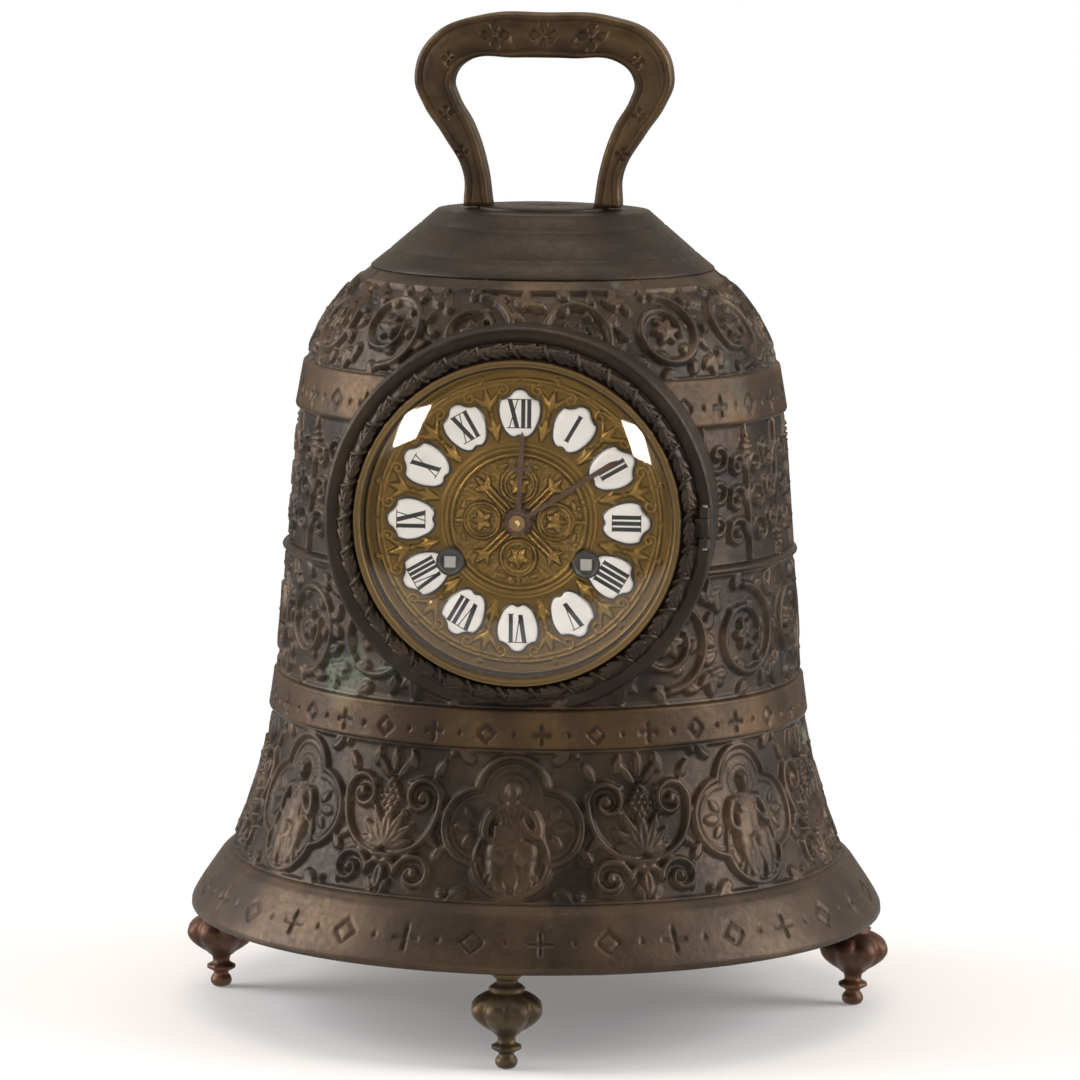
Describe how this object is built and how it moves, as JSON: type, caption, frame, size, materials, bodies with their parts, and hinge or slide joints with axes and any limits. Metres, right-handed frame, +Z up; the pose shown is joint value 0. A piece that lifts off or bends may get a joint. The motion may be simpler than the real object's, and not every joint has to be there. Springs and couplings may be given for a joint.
{
  "type": "table clock",
  "caption": "Bell-shaped bronze mantel clock on turned feet, with a lyre handle, a glazed round dial and a striking pendulum movement.",
  "frame": {"origin": "on the floor, under the middle of the bell case", "axes": "+Z up, the dial faces -Y, +X to the right as one faces the dial"},
  "size_m": [0.2168, 0.2168, 0.3025],
  "materials": {
    "case_bronze": "dark brown patinated bronze",
    "handle_bronze": "brown patinated bronze, worn at the edges",
    "foot_bronze": "brown patinated bronze, turned",
    "door_bronze": "dark patinated bronze",
    "gilt_brass": "aged polished brass",
    "dial_brass": "pressed brass, aged gilt",
    "enamel": "glossy white enamel",
    "black_ferrule": "black",
    "clear_glass": "clear bevelled glass",
    "blued_steel": "dark blued steel",
    "movement_brass": "polished brass",
    "steel": "polished steel",
    "bell_metal": "bell metal"
  },
  "bodies": {
    "case": {"bell_case": "case_bronze", "carry_handle": "handle_bronze", "foot_front": "foot_bronze", "foot_right": "foot_bronze", "foot_rear": "foot_bronze", "foot_left": "foot_bronze", "front_bezel": "gilt_brass", "rear_bezel": "gilt_brass", "dial_plate": "dial_brass", "enamel_cartouches": "enamel", "winding_ferrules": "black_ferrule", "front_plate": "movement_brass", "back_plate": "movement_brass", "plate_pillars": "movement_brass", "suspension_block": "movement_brass", "handle_nuts": "steel", "hinge_pins": "steel", "movement_straps": "steel", "movement_screws": "steel", "bell_stand": "steel", "strike_bell": "bell_metal"},
    "front_door": {"bezel_ring": "door_bronze", "sight_ring": "gilt_brass", "dial_glass": "clear_glass"},
    "back_door": {"rear_door": "gilt_brass"},
    "latch": {"rear_latch": "gilt_brass"},
    "minute": {"minute_hand": "blued_steel", "cannon_pinion": "movement_brass", "hand_nut": "gilt_brass"},
    "motion": {"minute_wheel": "movement_brass"},
    "hour": {"hour_hand": "blued_steel", "hour_wheel": "movement_brass"},
    "going_drum": {"going_barrel": "movement_brass", "going_mainspring": "steel"},
    "going_arbor": {"going_barrel_arbor": "steel", "going_ratchet": "steel"},
    "going_pawl": {"going_click": "steel"},
    "intermediate": {"intermediate_wheel": "movement_brass"},
    "centre": {"centre_wheel": "movement_brass"},
    "third": {"third_wheel": "movement_brass"},
    "escape": {"escape_wheel": "movement_brass"},
    "anchor": {"pallet_anchor": "steel", "crutch": "steel"},
    "pendulum": {"suspension_spring": "steel", "pendulum_rod": "steel", "pendulum_bob": "movement_brass"},
    "nut": {"rating_nut": "movement_brass"},
    "strike_drum": {"strike_barrel": "movement_brass", "strike_mainspring": "steel"},
    "strike_arbor": {"strike_barrel_arbor": "steel", "strike_ratchet": "steel"},
    "strike_pawl": {"strike_click": "steel"},
    "second": {"strike_second_wheel": "movement_brass", "count_wheel": "movement_brass"},
    "pins": {"pin_wheel": "movement_brass"},
    "warning": {"warning_wheel": "movement_brass"},
    "fan": {"fly": "movement_brass"},
    "hammer_body": {"hammer": "steel"}
  },
  "joints": [
    {"name": "front_door_hinge", "type": "hinge", "parent": "case", "child": "front_door", "pos_m": [0.0544, -0.0804, 0.1575], "axis": [0, 0, 1], "range_deg": [0, 100]},
    {"name": "back_door_hinge", "type": "hinge", "parent": "case", "child": "back_door", "pos_m": [0.0544, 0.0804, 0.1575], "axis": [0, 0, -1], "range_deg": [0, 100]},
    {"name": "latch_turn", "type": "hinge", "parent": "back_door", "child": "latch", "pos_m": [-0.041, 0.0804, 0.1575], "axis": [0, -1, 0], "range_deg": [0, 90]},
    {"name": "minute_turn", "type": "hinge", "parent": "case", "child": "minute", "pos_m": [0, 0, 0.1575], "axis": [0, 1, 0], "continuous": true},
    {"name": "motion_turn", "type": "hinge", "parent": "case", "child": "motion", "pos_m": [0, 0, 0.1455], "axis": [0, 1, 0], "continuous": true},
    {"name": "hour_turn", "type": "hinge", "parent": "case", "child": "hour", "pos_m": [0, 0, 0.1575], "axis": [0, 1, 0], "continuous": true},
    {"name": "fly_turn", "type": "hinge", "parent": "case", "child": "fan", "pos_m": [-0.02191, 0, 0.18958], "axis": [0, 1, 0], "continuous": true},
    {"name": "warning_turn", "type": "hinge", "parent": "case", "child": "warning", "pos_m": [-0.01393, 0, 0.18818], "axis": [0, 1, 0], "continuous": true},
    {"name": "pin_turn", "type": "hinge", "parent": "case", "child": "pins", "pos_m": [-0.01675, 0, 0.17766], "axis": [0, 1, 0], "continuous": true},
    {"name": "second_turn", "type": "hinge", "parent": "case", "child": "second", "pos_m": [-0.02355, 0, 0.16588], "axis": [0, 1, 0], "continuous": true},
    {"name": "strike_drum_turn", "type": "hinge", "parent": "case", "child": "strike_drum", "pos_m": [-0.0199, 0, 0.1452], "axis": [0, 1, 0], "continuous": true},
    {"name": "escape_turn", "type": "hinge", "parent": "case", "child": "escape", "pos_m": [0, 0, 0.1825], "axis": [0, 1, 0], "continuous": true},
    {"name": "third_turn", "type": "hinge", "parent": "case", "child": "third", "pos_m": [-0.00497, 0, 0.17063], "axis": [0, 1, 0], "continuous": true},
    {"name": "centre_turn", "type": "hinge", "parent": "case", "child": "centre", "pos_m": [0, 0, 0.1575], "axis": [0, 1, 0], "continuous": true},
    {"name": "intermediate_turn", "type": "hinge", "parent": "case", "child": "intermediate", "pos_m": [0.01269, 0, 0.16492], "axis": [0, 1, 0], "continuous": true},
    {"name": "going_drum_turn", "type": "hinge", "parent": "case", "child": "going_drum", "pos_m": [0.0199, 0, 0.1452], "axis": [0, 1, 0], "continuous": true},
    {"name": "going_winding", "type": "hinge", "parent": "case", "child": "going_arbor", "pos_m": [0.0199, 0, 0.1452], "axis": [0, 1, 0], "continuous": true},
    {"name": "strike_winding", "type": "hinge", "parent": "case", "child": "strike_arbor", "pos_m": [-0.0199, 0, 0.1452], "axis": [0, 1, 0], "continuous": true},
    {"name": "going_click_lift", "type": "hinge", "parent": "case", "child": "going_pawl", "pos_m": [0.02871, 0, 0.13781], "axis": [0, 1, 0], "range_deg": [0, 12], "stiffness_Nm_per_rad": 0.002},
    {"name": "strike_click_lift", "type": "hinge", "parent": "case", "child": "strike_pawl", "pos_m": [-0.02871, 0, 0.13781], "axis": [0, -1, 0], "range_deg": [0, 12], "stiffness_Nm_per_rad": 0.002},
    {"name": "pendulum_swing", "type": "hinge", "parent": "case", "child": "pendulum", "pos_m": [0, -0.022, 0.1945], "axis": [0, 1, 0], "range_deg": [-3, 3]},
    {"name": "anchor_swing", "type": "hinge", "parent": "case", "child": "anchor", "pos_m": [0, 0, 0.1945], "axis": [0, 1, 0], "range_deg": [-3, 3]},
    {"name": "nut_turn", "type": "hinge", "parent": "pendulum", "child": "nut", "pos_m": [0, -0.022, 0.0745], "axis": [0, 0, 1], "continuous": true},
    {"name": "hammer_swing", "type": "hinge", "parent": "case", "child": "hammer_body", "pos_m": [-0.0315, 0, 0.1795], "axis": [0, 1, 0], "range_deg": [0, 12], "stiffness_Nm_per_rad": 0.01}
  ],
  "couplings": [
    {"joint": "third_turn", "follows": "escape_turn", "ratio": -0.083333},
    {"joint": "centre_turn", "follows": "escape_turn", "ratio": 0.0069444},
    {"joint": "intermediate_turn", "follows": "escape_turn", "ratio": -0.0011574},
    {"joint": "going_drum_turn", "follows": "escape_turn", "ratio": 0.0001929},
    {"joint": "warning_turn", "follows": "fly_turn", "ratio": -0.125},
    {"joint": "pin_turn", "follows": "fly_turn", "ratio": 0.0125},
    {"joint": "second_turn", "follows": "fly_turn", "ratio": -0.0016667},
    {"joint": "strike_drum_turn", "follows": "fly_turn", "ratio": 0.00027778},
    {"joint": "motion_turn", "follows": "minute_turn", "ratio": -0.33333},
    {"joint": "hour_turn", "follows": "minute_turn", "ratio": 0.083333},
    {"joint": "anchor_swing", "follows": "pendulum_swing", "ratio": 1}
  ]
}
